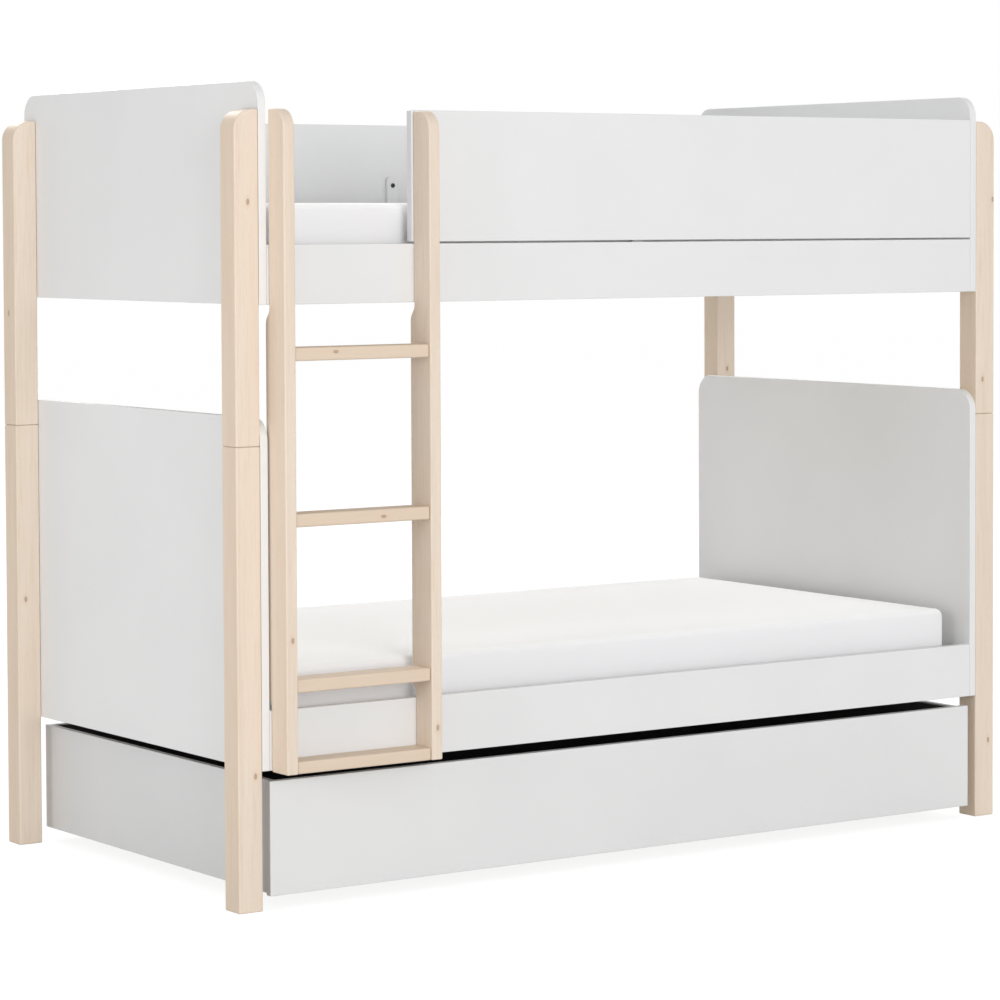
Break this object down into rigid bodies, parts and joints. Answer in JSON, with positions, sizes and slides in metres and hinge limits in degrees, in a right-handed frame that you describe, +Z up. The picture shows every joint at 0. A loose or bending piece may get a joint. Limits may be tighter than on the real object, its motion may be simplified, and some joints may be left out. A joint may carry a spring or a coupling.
{
  "type": "bunk bed",
  "caption": "Convertible bunk bed: two stacked post-and-panel beds, front ladder, guard boards, mattresses and a roll-out drawer under the lower bed.",
  "frame": {"origin": "on the floor, at the centre of the whole footprint with the ladder included", "axes": "+X along the bed, with the ladder at the -X end of the front; +Y to the rear, away from the ladder side; +Z up"},
  "size_m": [2.08, 1.1232, 1.716],
  "materials": {
    "beech": "pale washed beech under clear matt lacquer, fine straight grain and a few pin knots",
    "white_lacquer": "wood-based board under smooth satin white paint",
    "pine": "planed unfinished pine",
    "plywood": "thin plywood sheet, clear sealed",
    "mattress_cover": "smooth white knitted mattress cover",
    "black_felt": "black felt drawer lining",
    "zinc": "zinc-plated steel",
    "black_steel": "blackened steel",
    "castor_rubber": "dark grey rubber-tyred castor wheel"
  },
  "bodies": {
    "lower_bed": {"lower_post_front_left": "beech", "lower_post_front_right": "beech", "lower_post_rear_left": "beech", "lower_post_rear_right": "beech", "lower_end_panel_left": "white_lacquer", "lower_end_panel_right": "white_lacquer", "lower_side_rail_front": "white_lacquer", "lower_side_rail_rear": "white_lacquer", "lower_slat_ledge_front": "pine", "lower_slat_ledge_rear": "pine", "lower_slat_roll": "pine", "stacking_pin_front_left": "zinc", "stacking_pin_front_right": "zinc", "stacking_pin_rear_left": "zinc", "stacking_pin_rear_right": "zinc"},
    "mattress_below": {"lower_mattress": "mattress_cover"},
    "upper_bed": {"upper_post_front_left": "beech", "upper_post_front_right": "beech", "upper_post_rear_left": "beech", "upper_post_rear_right": "beech", "upper_end_panel_left": "white_lacquer", "upper_end_panel_right": "white_lacquer", "upper_side_rail_front": "white_lacquer", "upper_side_rail_rear": "white_lacquer", "upper_slat_ledge_front": "pine", "upper_slat_ledge_rear": "pine", "upper_slat_roll": "pine", "guard_front": "white_lacquer", "guard_rear": "white_lacquer", "guard_cleat_front": "white_lacquer", "guard_cleat_rear": "white_lacquer", "cleat_bolt_front_guard": "black_steel", "cleat_bolt_front_rail": "black_steel", "cleat_bolt_rear_guard": "black_steel", "cleat_bolt_rear_rail": "black_steel", "ladder_bolt_rail_left": "black_steel", "ladder_bolt_rail_right": "black_steel", "ladder_bolt_guard": "black_steel", "ladder_stile_left": "beech", "ladder_stile_right": "beech", "ladder_rung_1": "beech", "ladder_rung_2": "beech", "ladder_rung_3": "beech", "ladder_stretcher": "beech"},
    "mattress_above": {"upper_mattress": "mattress_cover"},
    "drawer_box": {"drawer_front": "white_lacquer", "drawer_side_left": "white_lacquer", "drawer_side_right": "white_lacquer", "drawer_back": "white_lacquer", "drawer_bottom": "plywood", "drawer_liner": "black_felt", "castor_fork_front_left": "zinc", "castor_fork_front_right": "zinc", "castor_fork_rear_left": "zinc", "castor_fork_rear_right": "zinc"},
    "wheel_front_left": {"castor_wheel_front_left": "castor_rubber"},
    "wheel_front_right": {"castor_wheel_front_right": "castor_rubber"},
    "wheel_rear_left": {"castor_wheel_rear_left": "castor_rubber"},
    "wheel_rear_right": {"castor_wheel_rear_right": "castor_rubber"}
  },
  "joints": [
    {"name": "drawer_slide", "type": "slide", "parent": "lower_bed", "child": "drawer_box", "axis": [0, -1, 0], "range_m": [0, 0.9]},
    {"name": "wheel_spin_front_left", "type": "hinge", "parent": "drawer_box", "child": "wheel_front_left", "pos_m": [-0.7797, -0.30435, 0.02], "axis": [1, 0, 0], "range_deg": [0, 2580]},
    {"name": "wheel_spin_front_right", "type": "hinge", "parent": "drawer_box", "child": "wheel_front_right", "pos_m": [0.7797, -0.30435, 0.02], "axis": [1, 0, 0], "range_deg": [0, 2580]},
    {"name": "wheel_spin_rear_left", "type": "hinge", "parent": "drawer_box", "child": "wheel_rear_left", "pos_m": [-0.7797, 0.35865, 0.02], "axis": [1, 0, 0], "range_deg": [0, 2580]},
    {"name": "wheel_spin_rear_right", "type": "hinge", "parent": "drawer_box", "child": "wheel_rear_right", "pos_m": [0.7797, 0.35865, 0.02], "axis": [1, 0, 0], "range_deg": [0, 2580]},
    {"name": "upper_bed_lift", "type": "slide", "parent": "lower_bed", "child": "upper_bed", "axis": [0, 0, 1], "range_m": [0, 0.3]},
    {"name": "lower_mattress_lift", "type": "slide", "parent": "lower_bed", "child": "mattress_below", "axis": [0, 0, 1], "range_m": [0, 0.3]},
    {"name": "upper_mattress_lift", "type": "slide", "parent": "upper_bed", "child": "mattress_above", "axis": [0, 0, 1], "range_m": [0, 0.3]}
  ],
  "couplings": [
    {"joint": "wheel_spin_front_left", "follows": "drawer_slide", "rad_per_m": 50},
    {"joint": "wheel_spin_front_right", "follows": "drawer_slide", "rad_per_m": 50},
    {"joint": "wheel_spin_rear_left", "follows": "drawer_slide", "rad_per_m": 50},
    {"joint": "wheel_spin_rear_right", "follows": "drawer_slide", "rad_per_m": 50}
  ]
}
